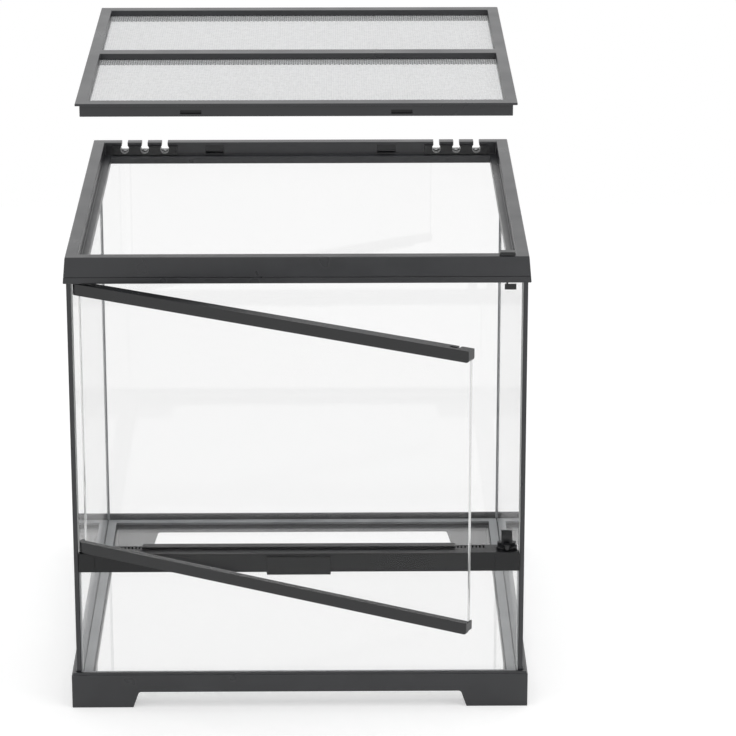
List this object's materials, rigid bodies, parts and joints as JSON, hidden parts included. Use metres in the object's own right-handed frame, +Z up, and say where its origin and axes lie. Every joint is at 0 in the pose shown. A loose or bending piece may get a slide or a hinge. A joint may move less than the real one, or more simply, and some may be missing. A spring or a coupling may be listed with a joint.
{
  "type": "glass terrarium",
  "caption": "Square glass terrarium with a raised base frame, a left-hinged front door above a fixed pane, and a lift-off screen lid.",
  "frame": {"origin": "on the standing surface, under the middle of the whole outline with the door ajar and the lid raised; the tank's own middle lies 72.4 mm behind it", "axes": "+Z up, +X to the right as seen from the front, +Y towards the back; the door faces -Y"},
  "size_m": [0.317, 0.4618, 0.4293],
  "materials": {
    "black_plastic": "fine moulded grain, satin black",
    "black_bolt_plastic": "smoother, deeper black",
    "clear_glass": "clear float glass with polished edges",
    "black_silicone": "cured silicone bead",
    "steel_screen": "fine woven wire",
    "steel_pin": "drawn wire"
  },
  "bodies": {
    "tank": {"bottom_frame": "black_plastic", "bottom_pane": "clear_glass", "left_pane": "clear_glass", "right_pane": "clear_glass", "back_pane": "clear_glass", "front_lower_pane": "clear_glass", "left_edge_trim": "black_plastic", "right_edge_trim": "black_plastic", "rear_left_seal": "black_silicone", "rear_right_seal": "black_silicone", "front_left_seal": "black_silicone", "front_right_seal": "black_silicone", "floor_seal": "black_silicone", "top_frame": "black_plastic", "front_left_lid_clip": "black_plastic", "front_right_lid_clip": "black_plastic", "rear_left_lid_clip": "black_plastic", "rear_right_lid_clip": "black_plastic", "mid_rail": "black_plastic", "vent_strip": "black_plastic", "badge_plate": "black_plastic"},
    "door": {"door_top_rail": "black_plastic", "door_bottom_rail": "black_plastic", "door_pane": "clear_glass", "upper_hinge_pin": "steel_pin", "lower_hinge_pin": "steel_pin"},
    "lid": {"lid_frame": "black_plastic", "front_screen": "steel_screen", "rear_screen": "steel_screen", "screen_retainer": "black_plastic"},
    "upper_latch": {"upper_bolt": "black_bolt_plastic", "upper_bolt_button": "black_bolt_plastic"},
    "lower_latch": {"lower_bolt": "black_bolt_plastic"},
    "left_slide": {"left_inlet_slide": "black_plastic"},
    "right_slide": {"right_inlet_slide": "black_plastic"}
  },
  "joints": [
    {"name": "door_hinge", "type": "hinge", "parent": "tank", "child": "door", "pos_m": [-0.147, -0.07963, 0.2108], "axis": [0, 0, -1], "range_deg": [-29.8, 70.2]},
    {"name": "lid_lift", "type": "slide", "parent": "tank", "child": "lid", "axis": [0, 0, 1], "range_m": [-0.103, 0.04]},
    {"name": "upper_latch_slide", "type": "slide", "parent": "tank", "child": "upper_latch", "axis": [-1, 0, 0], "range_m": [0, 0.0045]},
    {"name": "lower_latch_slide", "type": "slide", "parent": "tank", "child": "lower_latch", "axis": [-1, 0, 0], "range_m": [0, 0.0045]},
    {"name": "left_inlet_shift", "type": "slide", "parent": "tank", "child": "left_slide", "axis": [1, 0, 0], "range_m": [0, 0.0075]},
    {"name": "right_inlet_shift", "type": "slide", "parent": "tank", "child": "right_slide", "axis": [-1, 0, 0], "range_m": [0, 0.0075]}
  ]
}
